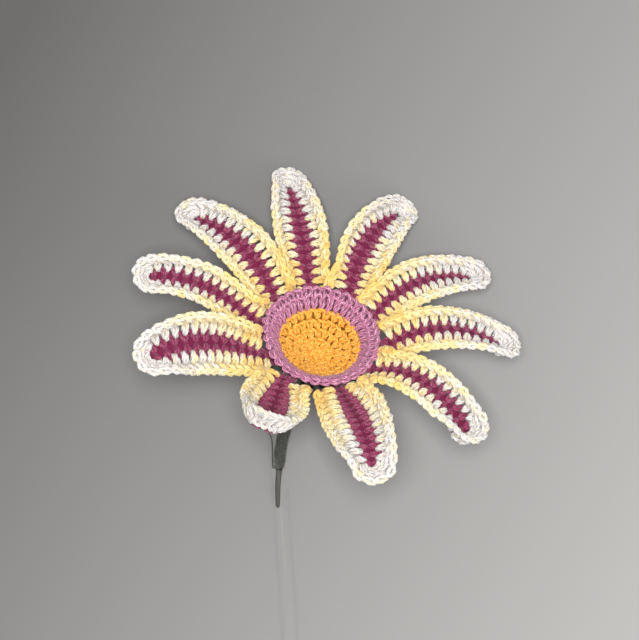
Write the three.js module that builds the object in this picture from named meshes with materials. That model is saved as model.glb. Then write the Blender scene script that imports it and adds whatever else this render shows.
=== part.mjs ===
import * as THREE from 'three';

// A crocheted gazania laid down on a table, with its wrapped wire stem in a clear tube.
// Millimetres, +Z up. The origin is on the table, under the middle of the whole object.
// The bloom is modelled facing +Z round its own centre, the middle of the disc's rim. It is then
// leaned back and turned, with its lowest petal tips just above the table. The tube lies on it.

// Driving dimensions, in millimetres and degrees.
const PLAY = 0.3; // clearance between neighbouring pieces
const BLOOM_LEAN = 36;
const BLOOM_TURN = 15;
const BLOOM_CENTRE = new THREE.Vector3(-1.88, 19.59, 24.35);

const DISC = { radius: 10.4, sunk: 4.6, thick: 1.3, stitches: [6, 12, 17, 22, 26], relief: 0.3 };
const RING = { inner: 10.7, outer: 14.45, foot: 0.1, rise: 4.2, thick: 1.3, scallops: 34, scallop: 0.3 };
const BACKING = { radius: 12.6, top: -2.8, bowl: -5.8, thick: 0.9, depth: 8.4, neck: 2.2 };

// Where the petals leave the back of the ring, and the tab by which they are sewn on there.
const ROOT = { radius: 15, height: 0.6, tab: 4.6, slope: 29 };
const STRIPE_THICK = 0.9;
const EDGE = { start: -1, skew: 7.5, low: 1.2, thick: 0.85, rim: 1.1, tooth: 1, toothThick: 0.6, bump: 0.2 };
const SIDE_STITCHES = 13;
const TIP_STITCHES = 5;
const EDGE_STITCHES = 2 * SIDE_STITCHES + TIP_STITCHES;

// One row a petal, counter-clockwise. "at" is where the petal leaves the ring and "length" that of
// its stripe. The pairs run from root to tip: "turn" bends the petal sideways and "roll" twists it.
// "slope" is its rise above the disc at root, middle and tip. "walls" is how steeply the edging
// stands up on the left, the right and the tip, and "heights" how high on the sides and the tip.
// "widths" is half the stripe's width at root, middle and tip.
const PETALS = [
  { at: 112.4, length: 30.8, slope: [16, 11, -20], turn: [0, 3], roll: [-4, 0],
    walls: [19, 39, 50], widths: [1.4, 2.8, 1], heights: [3.8, 4.3] },
  { at: 72.6, length: 30.4, slope: [17, 12, -25], turn: [28, -19], roll: [1, 12],
    walls: [52, 19, 47], widths: [1.4, 3, 0.9], heights: [4.1, 3.8] },
  { at: 42.4, length: 29.6, slope: [33, 6, -11], turn: [24, -27], roll: [7, -5],
    walls: [30, 8, 28], widths: [1.3, 2.1, 0.9], heights: [3.6, 4.5] },
  { at: 7.4, length: 31.9, slope: [30, 6, -27], turn: [33, -11], roll: [9, -8],
    walls: [16, 8, 38], widths: [1.2, 2, 0.9], heights: [3.5, 4.5] },
  { at: -20.4, length: 29.7, slope: [47, 2, -26], turn: [20, -22], roll: [2, -4],
    walls: [70, 12, 68], widths: [1.5, 2.4, 2.5], heights: [3.4, 4.6] },
  { at: -58, length: 26.7, slope: [21, 20, -18], turn: [-1, -9], roll: [19, 7],
    walls: [45, 0, 41], widths: [2.1, 3.5, 1.8], heights: [4.4, 4.3] },
  { at: -115, length: 27, slope: [10, 26, 57], turn: [23, 20], roll: [3, -3],
    walls: [44, 46, 48], widths: [1.8, 4.6, 1.9], heights: [4.5, 3.6] },
  { at: -143, length: 30.9, slope: [29, 22, -20], turn: [-22, 2], roll: [-15, -22],
    walls: [-8, 46, 54], widths: [1.4, 2.8, 2.4], heights: [4.5, 3.9] },
  { at: 181, length: 30.9, slope: [21, 22, -13], turn: [-18, 15], roll: [-19, -22],
    walls: [45, 57, 55], widths: [1.3, 2, 1.9], heights: [3.7, 3.8] },
  { at: 149, length: 31.6, slope: [27, 9, -23], turn: [-18, 14], roll: [-16, -6],
    walls: [22, 14, 48], widths: [1.3, 2.7, 1.2], heights: [3.6, 4.2] },
];

// The stem, from the bloom's back down into the tube; places are relative to the bloom's centre.
const STEM = { radius: 1.65, bore: 1.1, wire: 0.75, sides: 12 };
const STEM_ROUTE = [[-1.37, -5.11, -7.28], [-3.2, -9.5, -12.6], [-6.2, -16, -18.2], [-8.8, -22.5, -20.8],
  [-10.1, -28, -21.9], [-10.5, -33.2, -22.05]];
const WIRE_END = [[-10.8, -37.5, -22.2], [-10.8, -43, -22.3]];
const TUBE = { outer: 2.3, inner: 1.9, sides: 24, turn: 3.9, x: -12.9, mouth: -31.6, slant: 8, end: -84 };

// ---- general helpers ----

const rad = THREE.MathUtils.degToRad;

function material(color, roughness, extra = {}) {
  return new THREE.MeshStandardMaterial({ color, roughness, metalness: 0, ...extra });
}

const YARN = {
  burgundy: material(0x802c54, 0.9),
  cream: material(0xeee2be, 0.85),
  mauve: material(0xb070a8, 0.85),
  orange: material(0xfcb23a, 0.85),
  green: material(0x4b4e46, 0.9),
};
const STEEL = material(0x8a8c88, 0.4, { metalness: 1 });
const CLEAR = material(0xdfe3e2, 0.15, { transparent: true, opacity: 0.35 });

function volume(points, index) {
  let sum = 0;
  for (let i = 0; i < index.length; i += 3) {
    const [a, b, c] = [points[index[i]], points[index[i + 1]], points[index[i + 2]]];
    sum += a.dot(new THREE.Vector3().crossVectors(b, c));
  }
  return sum / 6;
}

// A closed body over a grid of points. Every row is a closed loop of the same number of points,
// and neighbouring rows are joined. With "loop" the last row joins the first, as in a ring;
// otherwise a fan round the middle point closes each end.
function gridBody(rows, loop = false) {
  const count = rows[0].length;
  const points = rows.flat();
  const index = [];
  const bands = loop ? rows.length : rows.length - 1;
  for (let i = 0; i < bands; i += 1) {
    const next = (i + 1) % rows.length;
    for (let j = 0; j < count; j += 1) {
      const right = (j + 1) % count;
      const [a, b, c, d] = [i * count + j, i * count + right, next * count + right, next * count + j];
      index.push(a, b, c, a, c, d);
    }
  }
  if (!loop) {
    addCap(points, index, 0, count, true);
    addCap(points, index, (rows.length - 1) * count, count, false);
  }
  if (volume(points, index) < 0) index.reverse();
  const geometry = new THREE.BufferGeometry().setFromPoints(points);
  geometry.setIndex(index);
  geometry.computeVertexNormals();
  return geometry;
}

function addCap(points, index, first, count, reversed) {
  const middle = new THREE.Vector3();
  for (let j = 0; j < count; j += 1) middle.addScaledVector(points[first + j], 1 / count);
  const centre = points.push(middle) - 1;
  for (let j = 0; j < count; j += 1) {
    const [a, b] = [first + j, first + (j + 1) % count];
    if (reversed) index.push(centre, b, a);
    else index.push(centre, a, b);
  }
}

function mesh(name, geometry, skin) {
  const piece = new THREE.Mesh(geometry, skin);
  piece.name = name;
  return piece;
}

function range(count, make) {
  return Array.from({ length: count }, (_, i) => make(i));
}

const mix = (a, b, t) => a + (b - a) * t;
const clamp = THREE.MathUtils.clamp;
const polar = (r, angle, z) => new THREE.Vector3(r * Math.cos(angle), r * Math.sin(angle), z);

// ---- disc and ring ----

// The disc is a bowl of rounds of stitches. Each round is a swell between two grooves, and each
// stitch a swell along its round.
function discHeight(r) {
  return -DISC.sunk * (1 - (r / DISC.radius) ** 2);
}

function disc() {
  const around = 3 * DISC.stitches[DISC.stitches.length - 1];
  const width = DISC.radius / DISC.stitches.length;
  const rows = [];
  DISC.stitches.forEach((stitches, i) => {
    const crest = (i + 0.5) * width;
    const groove = (i + 1) * width - PLAY;
    rows.push(discRow(around, crest, discHeight(crest), stitches));
    rows.push(discRow(around, groove, discHeight(groove) - DISC.relief, 0));
  });
  for (const r of [DISC.radius - 0.4, 0.68 * DISC.radius, 0.34 * DISC.radius]) {
    rows.push(discRow(around, r, discHeight(r) - DISC.thick, 0));
  }
  return mesh('disc', gridBody(rows), YARN.orange);
}

function discRow(around, r, height, stitches) {
  return range(around, (j) => {
    const angle = (2 * Math.PI * j) / around;
    const lift = stitches ? DISC.relief * Math.cos(stitches * angle) : 0;
    return polar(r, angle, height + lift);
  });
}

// The ring is a flared collar whose rim has a rounded scallop for each stitch.
function ring() {
  const around = 4 * RING.scallops;
  const middle = (RING.inner + RING.outer) / 2;
  const section = [
    [RING.inner, RING.foot, 0], [middle, RING.rise * 0.62, 0.6], [RING.outer, RING.rise, 1],
    [RING.outer + 0.1, RING.rise - RING.thick, 1], [middle, RING.rise * 0.5 - RING.thick, 0],
    [RING.inner, RING.foot - RING.thick, 0],
  ];
  const rows = section.map(([r, z, wave]) => range(around, (j) => {
    const angle = (2 * Math.PI * j) / around;
    const swell = wave * RING.scallop * Math.cos(RING.scallops * angle);
    return polar(r + swell, angle, z + swell * 0.5);
  }));
  return mesh('ring', gridBody(rows, true), YARN.mauve);
}

// The backing cup covers the sewn tabs of the petals and carries the stem.
function backing() {
  const { radius, top, bowl, thick, depth, neck } = BACKING;
  const half = (top + bowl) / 2;
  const profile = [[0, bowl], [radius * 0.32, bowl], [radius * 0.6, half], [radius, top],
    [radius + 0.2, top - thick / 2], [radius - 0.4, top - thick], [radius * 0.62, half - thick],
    [radius * 0.35, bowl - thick], [neck, -depth], [0, -depth]];
  const points = profile.reverse().map(([r, z]) => new THREE.Vector2(r, z));
  return mesh('backing', new THREE.LatheGeometry(points, 32).rotateX(Math.PI / 2), YARN.green);
}

// ---- petals ----

// The petal's centre line starts at the ring and follows its slope and turn in equal steps. Its
// twist comes in over the first eighth.
function centreLine(petal) {
  const steps = 80;
  const [rise, crest, droop] = petal.slope;
  const step = petal.length / steps;
  const line = [];
  let point = polar(ROOT.radius, rad(petal.at), ROOT.height);
  for (let i = 0; i <= steps; i += 1) {
    const u = i / steps;
    const slope = rad(rise * (1 - u) * (1 - 2 * u) + crest * 4 * u * (1 - u) + droop * u * (2 * u - 1));
    const heading = rad(petal.at + mix(...petal.turn, u));
    const along = polar(Math.cos(slope), heading, Math.sin(slope));
    const level = new THREE.Vector3(-Math.sin(heading), Math.cos(heading), 0);
    const side = level.applyAxisAngle(along, rad(mix(...petal.roll, u)) * Math.min(8 * u, 1));
    if (i > 0) {
      point = point.clone().addScaledVector(line[i - 1].along, step / 2).addScaledVector(along, step / 2);
    }
    line.push({ point, along, side, up: new THREE.Vector3().crossVectors(along, side) });
  }
  return line;
}

// The petal's place and directions at a distance s from the ring. Before that, the tab runs down
// and inwards behind the ring.
function placeAt(petal, line, s) {
  const at = clamp(s / petal.length, 0, 1) * (line.length - 1);
  const i = Math.min(Math.floor(at), line.length - 2);
  const blend = (key) => line[i][key].clone().lerp(line[i + 1][key], at - i);
  const place = { point: blend('point'), along: blend('along'), side: blend('side'), up: blend('up') };
  if (s < 0) {
    const slope = rad(ROOT.slope);
    place.point.add(polar(s * Math.cos(slope), rad(petal.at), s * Math.sin(slope)));
  }
  if (s > petal.length) place.point.addScaledVector(place.along, s - petal.length);
  return place;
}

// Half the stripe's width at a distance s from the ring: fuller in the middle, and rounded beyond
// the petal's length.
function halfWidth(petal, s) {
  const [root, middle, tip] = petal.widths;
  const u = clamp(s / petal.length, 0, 1);
  const beyond = clamp((s - petal.length) / tip, 0, 1);
  const arch = (middle - (root + tip) / 2) * Math.sin(Math.PI * u);
  return (mix(root, tip, u) + arch) * Math.sqrt(1 - beyond ** 2);
}

function stripe(petal, line, name) {
  const steps = 20;
  const tip = petal.widths[2];
  const lower = -STRIPE_THICK;
  const stations = range(steps + 1, (i) => mix(-ROOT.tab, petal.length, i / steps));
  stations.push(petal.length + 0.5 * tip, petal.length + 0.8 * tip, petal.length + 0.95 * tip);
  const rows = stations.map((s) => {
    const { point, side, up } = placeAt(petal, line, s);
    const half = halfWidth(petal, s);
    const section = [[-half, -0.15], [-half / 2, 0], [half / 2, 0], [half, -0.15],
      [half * 0.8, lower], [-half * 0.8, lower]];
    return section.map(([w, h]) => point.clone().addScaledVector(side, w).addScaledVector(up, h));
  });
  return mesh(name, gridBody(rows), YARN.burgundy);
}

// A place on the stripe's outline, counted in stitches up the left side, round the tip and down
// the right side, with the direction that points away from the stripe there.
function outlineAt(petal, line, stitch) {
  const tip = clamp((stitch - SIDE_STITCHES) / TIP_STITCHES, 0, 1);
  const onLeft = stitch <= SIDE_STITCHES + TIP_STITCHES / 2;
  const u = clamp((onLeft ? stitch : EDGE_STITCHES - stitch) / SIDE_STITCHES, 0, 1);
  const turn = Math.PI * tip;
  const start = EDGE.start + EDGE.skew * Math.max(Math.sin(rad(petal.turn[0])) * (1 - 2 * tip), 0);
  const s = mix(start, petal.length, u) + petal.widths[2] * Math.sin(turn);
  const { point, along, side, up } = placeAt(petal, line, s);
  const out = side.clone().multiplyScalar(Math.cos(turn)).addScaledVector(along, Math.sin(turn));
  const half = halfWidth(petal, Math.min(s, petal.length));
  point.addScaledVector(side, half * Math.cos(turn));
  return { point, out, up, half, u, tip, beyond: s - start };
}

// The edging's wall is low and flat under the ring, and soon stands steeper than further out.
function wallSlope(petal, u, tip, beyond) {
  const [left, right, end] = petal.walls;
  const middle = mix(left, right, tip);
  const root = 0.5 * (80 - middle) * clamp(1 - u / 0.5, 0, 1);
  const slope = (middle + root) * clamp(beyond / 5, 0, 1);
  return rad(slope + (end - middle) * clamp((u - 0.75) / 0.25, 0, 1));
}

function wallHeight(petal, stitch, beyond) {
  const [side, tip] = petal.heights;
  const fromTip = (stitch - EDGE_STITCHES / 2) / 3;
  const full = side + (tip - side) * Math.exp(-fromTip * fromTip);
  return mix(EDGE.low, full, clamp(beyond / 6, 0, 1));
}

// The edging is one row of stitches round the stripe: a wall with a thicker rim, whose pointed
// teeth lie on the stripe's face, one to a stitch.
function edging(petal, line, name) {
  const rows = range(2 * EDGE_STITCHES + 1, (i) => {
    const { point, out, up, half, u, tip, beyond } = outlineAt(petal, line, i / 2);
    const slope = wallSlope(petal, u, tip, beyond);
    const wall = wallHeight(petal, i / 2, beyond);
    const onTooth = i % 2 === 1;
    const tooth = onTooth ? -EDGE.tooth * clamp(half / 1.6, 0.25, 1) : -0.05;
    const rim = wall + (onTooth ? EDGE.bump : 0);
    const lean = (e, d) => [0.4 + e * Math.cos(slope) - d * Math.sin(slope),
      0.2 + e * Math.sin(slope) + d * Math.cos(slope)];
    const inside = lean(0.2, EDGE.thick);
    const foot = Math.min(tooth, inside[0] - 0.05);
    const section = [
      [foot, PLAY], [0.32, PLAY], lean(0, -EDGE.thick), lean(rim, -EDGE.rim),
      lean(rim, EDGE.rim), inside, [foot, Math.min(PLAY + EDGE.toothThick, inside[1])],
    ];
    return section.map(([o, h]) => point.clone().addScaledVector(out, o).addScaledVector(up, h));
  });
  return mesh(name, gridBody(rows), YARN.cream);
}

// ---- stem and tube ----

// Circles of one radius square to a smooth route.
function pipeRows(curve, steps, radius, sides) {
  const frames = curve.computeFrenetFrames(steps, false);
  return range(steps + 1, (i) => {
    const centre = curve.getPointAt(i / steps);
    return range(sides, (j) => {
      const angle = (2 * Math.PI * j) / sides;
      const across = frames.normals[i].clone().multiplyScalar(radius * Math.cos(angle));
      return centre.clone().add(across).addScaledVector(frames.binormals[i], radius * Math.sin(angle));
    });
  });
}

function route(places) {
  return new THREE.CatmullRomCurve3(places.map((place) => new THREE.Vector3(...place)));
}

// The stem is yarn wound round a wire: a sleeve, with the bare wire showing at its lower end.
function stem() {
  const curve = route(STEM_ROUTE);
  const outside = pipeRows(curve, 18, STEM.radius, STEM.sides);
  const bore = pipeRows(curve, 18, STEM.bore, STEM.sides);
  const sleeve = mesh('stem', gridBody([...outside, ...bore.reverse()], true), YARN.green);
  const wireRows = pipeRows(route([...STEM_ROUTE, ...WIRE_END]), 24, STEM.wire, 8);
  const wire = mesh('stem_wire', gridBody(wireRows), STEEL);
  return [sleeve, wire];
}

// The tube is cut square at its far end and on a long slant at its mouth. One flat of its outside
// lies on the table.
function tube() {
  const circle = (apothem, yAt) => range(TUBE.sides, (j) => {
    const angle = (2 * Math.PI * (j + 0.5)) / TUBE.sides;
    const radius = apothem / Math.cos(Math.PI / TUBE.sides);
    const x = radius * Math.cos(angle);
    return new THREE.Vector3(x, yAt(x), radius * Math.sin(angle));
  });
  const mouth = (x) => TUBE.mouth - (TUBE.slant * x) / TUBE.outer;
  const end = () => TUBE.end;
  const rows = [circle(TUBE.outer, mouth), circle(TUBE.outer, end), circle(TUBE.inner, end),
    circle(TUBE.inner, mouth)];
  const piece = mesh('tube', gridBody(rows, true), CLEAR);
  piece.rotation.z = rad(TUBE.turn);
  return piece;
}

// ---- the whole ----

function bloom() {
  const group = new THREE.Group();
  group.add(disc(), ring(), backing());
  PETALS.forEach((petal, i) => {
    const line = centreLine(petal);
    group.add(stripe(petal, line, `petal_${i + 1}_stripe`));
    group.add(edging(petal, line, `petal_${i + 1}_edge`));
  });
  group.rotation.set(-rad(BLOOM_LEAN), 0, 0);
  const turned = new THREE.Group();
  turned.rotation.z = -rad(BLOOM_TURN);
  turned.add(group);
  return turned;
}

function holder() {
  const group = new THREE.Group();
  const laid = new THREE.Group();
  laid.position.set(TUBE.x, 0, TUBE.outer - BLOOM_CENTRE.z);
  laid.add(tube());
  group.add(...stem(), laid);
  return group;
}

const gazania = new THREE.Group();
const placed = new THREE.Group();
placed.position.copy(BLOOM_CENTRE);
placed.add(bloom(), holder());
gazania.add(placed);

export default gazania;
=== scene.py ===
import math

import bpy
import numpy as np
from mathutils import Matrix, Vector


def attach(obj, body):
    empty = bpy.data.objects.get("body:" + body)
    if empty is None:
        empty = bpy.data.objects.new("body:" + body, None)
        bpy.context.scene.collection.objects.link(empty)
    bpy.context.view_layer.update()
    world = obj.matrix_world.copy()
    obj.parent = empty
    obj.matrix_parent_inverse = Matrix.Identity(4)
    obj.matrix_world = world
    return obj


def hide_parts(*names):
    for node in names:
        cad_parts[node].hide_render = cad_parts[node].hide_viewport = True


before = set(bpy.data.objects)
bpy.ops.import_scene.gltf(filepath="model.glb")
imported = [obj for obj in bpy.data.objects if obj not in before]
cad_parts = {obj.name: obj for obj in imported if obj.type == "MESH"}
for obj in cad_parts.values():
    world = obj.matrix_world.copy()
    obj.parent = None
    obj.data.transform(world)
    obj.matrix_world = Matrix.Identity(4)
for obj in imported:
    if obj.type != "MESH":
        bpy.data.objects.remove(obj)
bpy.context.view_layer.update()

bl_info = {
    "name": "Crocheted Gazania",
    "version": (1, 0, 0),
    "blender": (4, 5, 0),
    "location": "View3D > Sidebar > Gazania",
    "description": "Works a crocheted gazania stitch by stitch, with its stem and clear tube",
    "category": "Add Mesh",
}

# Lengths below are millimetres and angles degrees, in the bloom's own frame unless a comment says
# otherwise: the bloom faces +Z round the middle of its disc's rim. It is then leaned back and
# turned, and the middle comes to BLOOM_CENTRE above the table.
MM = 0.001
BLOOM_LEAN = 36.0
BLOOM_TURN = 15.0
BLOOM_CENTRE = np.array([-1.88, 19.59, 24.35])

DISC_RADIUS = 10.4
DISC_SUNK = 4.6
DISC_STITCHES = (6, 12, 17, 22, 26)
RING_INNER = 10.7
RING_OUTER = 14.45
RING_RISE = 4.2
RING_SCALLOPS = 34
BACKING_RADIUS = 12.6
BACKING_TOP = -2.8
BACKING_DEPTH = 8.4
BACKING_ROUNDS = 4
BACKING_PER_ROUND = 7

# The petals leave the back of the ring at ROOT_RADIUS and are sewn on there by a short tab. Their
# edging starts EDGE_LOW high and reaches its own height EDGE_RUN further on. On the side that a
# petal's root turns towards it starts further out, by EDGE_SKEW times the sine of that turn.
ROOT_RADIUS = 15.0
ROOT_HEIGHT = 0.6
ROOT_TAB = 4.6
ROOT_SLOPE = 29.0
EDGE_START = -1.0
EDGE_LOW = 4.2
EDGE_RUN = 6.0
EDGE_SKEW = 7.5
STRIPE_UNDER = 0.55
EDGE_WALL = 3.8
EDGE_FOOT = 1.15
SIDE_STITCHES = 13
TIP_STITCHES = 5
EDGE_STITCHES = 2 * SIDE_STITCHES + TIP_STITCHES

# One row a petal, counter-clockwise: where it leaves the ring, the length of its stripe, its rise
# above the disc at root, middle and tip, its bend sideways and its twist at root and tip, how
# steeply its edging stands up on the left, the right and the tip, half its stripe's width at
# root, middle and tip, and the height of its edging on the sides and round the tip. These rows
# came out of a least-squares fit, made by another program, and some were then moved by hand.
PETALS = (
    (112.4, 30.8, (16, 11, -20), (0, 3), (-4, 0), (19, 39, 50), (1.4, 2.8, 1.0), (3.8, 4.3)),
    (72.6, 30.4, (17, 12, -25), (28, -19), (1, 12), (52, 19, 47), (1.4, 3.0, 0.9), (4.1, 3.8)),
    (42.4, 29.6, (33, 6, -11), (24, -27), (7, -5), (30, 8, 28), (1.3, 2.1, 0.9), (3.6, 4.5)),
    (7.4, 31.9, (30, 6, -27), (33, -11), (9, -8), (16, 8, 38), (1.2, 2.0, 0.9), (3.5, 4.5)),
    (-20.4, 29.7, (47, 2, -26), (20, -22), (2, -4), (70, 12, 68), (1.5, 2.4, 2.5), (3.4, 4.6)),
    (-58, 26.7, (21, 20, -18), (-1, -9), (19, 7), (45, 0, 41), (2.1, 3.5, 1.8), (4.4, 4.3)),
    (-115, 27.0, (10, 26, 57), (23, 20), (3, -3), (44, 46, 48), (1.8, 4.6, 1.9), (4.5, 3.6)),
    (-143, 30.9, (29, 22, -20), (-22, 2), (-15, -22), (-8, 46, 54), (1.4, 2.8, 2.4), (4.5, 3.9)),
    (181, 30.9, (21, 22, -13), (-18, 15), (-19, -22), (45, 57, 55), (1.3, 2.0, 1.9), (3.7, 3.8)),
    (149, 31.6, (27, 9, -23), (-18, 14), (-16, -6), (22, 14, 48), (1.3, 2.7, 1.2), (3.6, 4.2)),
)

# The stem and the tube, relative to BLOOM_CENTRE, along the table's own axes. LOOSE_END is a thin
# loose thread beside the stem.
STEM_RADIUS = 1.65
WIRE_RADIUS = 0.75
WIRE_TAPER = 10.0
LOOSE_RADIUS = 0.13
WINDING_THICKNESS = 0.7
WINDING_PITCH = 0.62
WINDING_FINE = 14
STEM_THINNING = 0.3
STEM_THINS_OVER = 3.0
STEM_ROUTE = ((-1.37, -5.11, -7.28), (-3.2, -9.5, -12.6), (-6.2, -16, -18.2), (-8.8, -22.5, -20.8),
              (-10.1, -28, -21.9), (-10.5, -33.2, -22.05))
WIRE_END = ((-10.8, -37.5, -22.2), (-10.8, -43, -22.3))
LOOSE_END = ((-12.9, -23.2, -14.4), (-12.3, -25.2, -19.0), (-12.2, -28.0, -20.8),
             (-12.1, -32.2, -21.7), (-11.5, -32.6, -21.5))
TUBE_OUTER = 2.3
TUBE_INNER = 1.9
TUBE_TURN = 3.9
TUBE_X = -12.9
TUBE_MOUTH = -31.6
TUBE_SLANT = 8.0
TUBE_END = -84.0

CAMERA_FROM_BLOOM = np.array([0, 5.625, 600])
CAMERA_SENSOR = 36.0
CAMERA_LENS = 135.2

# The floor's colour is painted shade of an uneven light: it runs from FLOOR_SHADE of itself up to
# all of itself along FLOOR_SHADE_WAY, between FLOOR_SHADE_REACH metres on one side of the middle
# and as far on the other.
FLOOR_HALF = 3.0
FLOOR_SHADE = 0.24
FLOOR_SHADE_WAY = (0.861, -0.509, 0.0)
FLOOR_SHADE_REACH = 0.12

# Each light's place and size in metres and its power in watts, and where both are aimed.
KEY_LIGHT = ((-0.015, 0.045, 1.1), 0.25, 14.8)
FILL_LIGHT = ((0.4, -0.35, 0.45), 0.5, 1.0)
LIGHT_AIM = (0, 0.02, 0.02)
WORLD_STRENGTH = 0.42

# A strand has STRAND_SIDES faces round it, four to each of its three plies.
STRAND_SIDES = 12
PLIES = 3

# A place in a stitch lies deep within HIDDEN_DEPTH of the middle layer and below RIM_SHARE, and is
# coloured there with painted shade.
HIDDEN_DEPTH = 0.5
RIM_SHARE = 0.9

# One single crochet, as the places that its yarn passes: along the row in stitches, up the stitch
# as a share of its height, on from there in millimetres, and towards the front in millimetres.
# The yarn makes a link of the top chain, goes down the back, through the hole below the next
# stitch, and up and down the front as the two legs of its V.
SINGLE_CROCHET = np.array([
    (0.00, 1.00, -0.50, 0.10),
    (0.28, 1.00, -0.05, 0.52),
    (0.70, 1.00, 0.05, 0.58),
    (1.04, 1.00, -0.10, 0.10),
    (0.72, 1.00, 0.05, -0.55),
    (0.30, 1.00, -0.05, -0.52),
    (0.02, 1.00, -0.55, -0.20),
    (0.12, 0.72, 0.00, -0.62),
    (0.62, 0.34, 0.00, -0.66),
    (0.98, 0.06, 0.00, -0.45),
    (0.99, 0.00, 0.00, 0.05),
    (0.90, 0.12, 0.00, 0.48),
    (0.79, 0.38, 0.00, 0.62),
    (0.72, 0.62, 0.00, 0.52),
    (0.76, 0.82, 0.00, 0.10),
    (0.98, 0.88, 0.00, -0.20),
    (1.22, 0.82, 0.00, 0.10),
    (1.25, 0.62, 0.00, 0.52),
    (1.17, 0.38, 0.00, 0.62),
    (1.07, 0.12, 0.00, 0.48),
    (1.01, 0.00, 0.00, 0.05),
    (1.04, 0.10, 0.00, -0.50),
    (1.14, 0.45, 0.00, -0.62),
    (1.06, 0.80, 0.00, -0.25),
])

# The same for the petals' edging, whose stitches are tall: the legs reach half way up, and above
# them lies a chain whose links slant, with its back loops behind.
EDGE_STITCH = np.array([
    (0.00, 1.00, -0.55, 0.30),
    (0.25, 1.00, -0.85, 0.62),
    (0.65, 1.00, -0.80, 0.72),
    (1.06, 1.00, -0.30, 0.40),
    (0.78, 1.00, 0.05, -0.05),
    (0.34, 1.00, 0.05, -0.22),
    (0.02, 1.00, -0.45, 0.00),
    (0.06, 0.80, 0.00, 0.45),
    (0.42, 0.72, 0.00, 0.66),
    (0.80, 0.64, 0.00, 0.40),
    (0.92, 0.44, 0.00, -0.80),
    (0.97, 0.26, 0.00, -1.20),
    (0.99, 0.00, 0.00, 0.05),
    (0.92, 0.10, 0.00, 0.45),
    (0.84, 0.24, 0.00, 0.60),
    (0.78, 0.38, 0.00, 0.60),
    (0.80, 0.52, 0.00, 0.20),
    (1.00, 0.56, 0.00, -0.15),
    (1.22, 0.52, 0.00, 0.20),
    (1.22, 0.38, 0.00, 0.60),
    (1.15, 0.24, 0.00, 0.60),
    (1.07, 0.10, 0.00, 0.45),
    (1.01, 0.00, 0.00, 0.05),
    (1.04, 0.26, 0.00, -1.20),
    (1.14, 0.50, 0.00, -0.80),
    (1.06, 0.80, 0.00, -0.35),
])

# Round the tip the yarn runs with the rim, in three strands below each link of the chain.
TIP_STITCH = np.array([
    (0.00, 1.00, -0.55, 0.30),
    (0.30, 1.00, -0.85, 0.60),
    (0.70, 1.00, -0.80, 0.72),
    (1.06, 1.00, -0.30, 0.40),
    (0.78, 1.00, 0.10, -0.05),
    (0.34, 1.00, 0.10, -0.25),
    (0.02, 1.00, -0.45, -0.10),
    (-0.15, 0.72, 0.00, 0.20),
    (0.10, 0.62, 0.00, 0.58),
    (0.60, 0.60, 0.00, 0.68),
    (1.10, 0.53, 0.00, 0.60),
    (1.45, 0.45, 0.00, -0.20),
    (1.30, 0.34, 0.00, -1.10),
    (0.80, 0.30, 0.00, -1.25),
    (0.30, 0.34, 0.00, -0.80),
    (0.20, 0.36, 0.00, 0.50),
    (0.65, 0.35, 0.00, 0.62),
    (1.15, 0.28, 0.00, 0.52),
    (1.35, 0.20, 0.00, 0.00),
    (0.90, 0.10, 0.00, -0.20),
    (0.30, 0.12, 0.00, 0.10),
    (0.50, 0.10, 0.00, 0.45),
    (1.10, 0.06, 0.00, 0.45),
    (1.35, 0.20, 0.00, -0.45),
    (1.20, 0.60, 0.00, -0.50),
    (1.08, 0.80, 0.00, -0.35),
])

SUN_WARMTH = (1.0, 0.985, 0.96)


# ---- arrays ----

def unit(vectors):
    """Each vector divided by its length."""
    return vectors / np.linalg.norm(vectors, axis=-1, keepdims=True)


def mix(low, high, share):
    """The value that lies that share of the way from low to high."""
    return low + (high - low) * share


def smooth(x):
    """3x^2 - 2x^3 of x held between 0 and 1: an even start and an even end."""
    x = np.clip(x, 0, 1)
    return x * x * (3 - 2 * x)


def polar(radius, angle, height):
    """Points at a radius, an angle in radians and a height."""
    return np.stack(np.broadcast_arrays(radius * np.cos(angle), radius * np.sin(angle), height), -1)


def turned(vectors, axis, angle):
    """Each vector turned about its own unit axis by its own angle, by Rodrigues' formula:
    v cos a + (k x v) sin a + k (k . v)(1 - cos a)."""
    angle = angle[:, None]
    dot = np.sum(axis * vectors, -1, keepdims=True)
    return (vectors * np.cos(angle) + np.cross(axis, vectors) * np.sin(angle)
            + axis * dot * (1 - np.cos(angle)))


def about_z(degrees):
    """The matrix that turns points about Z."""
    turn = math.radians(degrees)
    return np.array([[math.cos(turn), -math.sin(turn), 0],
                     [math.sin(turn), math.cos(turn), 0], [0, 0, 1]])


def on_table(points):
    """Points of the bloom's frame on the table: leaned back about X, turned about Z and moved."""
    lean = math.radians(-BLOOM_LEAN)
    about_x = np.array([[1, 0, 0], [0, math.cos(lean), -math.sin(lean)],
                        [0, math.sin(lean), math.cos(lean)]])
    return points @ (about_z(-BLOOM_TURN) @ about_x).T + BLOOM_CENTRE


def as_placed(points):
    """Points that are on the table already, unchanged."""
    return points


def way_along(line):
    """The length of a line of places up to each of them."""
    return np.concatenate([[0], np.cumsum(np.linalg.norm(np.diff(line, axis=0), axis=1))])


# ---- strands of yarn ----

def spline(knots, fine=6):
    """A uniform cubic B-spline of rows of numbers, with `fine` places to a span. Each place is the
    mean of four neighbours, weighted (1-u)^3, 3u^3-6u^2+4, -3u^3+3u^2+3u+1 and u^3, over 6."""
    rows = np.concatenate([knots[:1], knots[:1], knots, knots[-1:], knots[-1:]])
    u = (np.arange(fine) / fine)[None, :, None]
    weights = ((1 - u) ** 3, 3 * u**3 - 6 * u**2 + 4, -3 * u**3 + 3 * u**2 + 3 * u + 1, u**3)
    spans = len(rows) - 3
    parts = [w * rows[i:i + spans, None, :] / 6 for i, w in enumerate(weights)]
    return np.concatenate([sum(parts).reshape(-1, rows.shape[1]), knots[-1:]])


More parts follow.
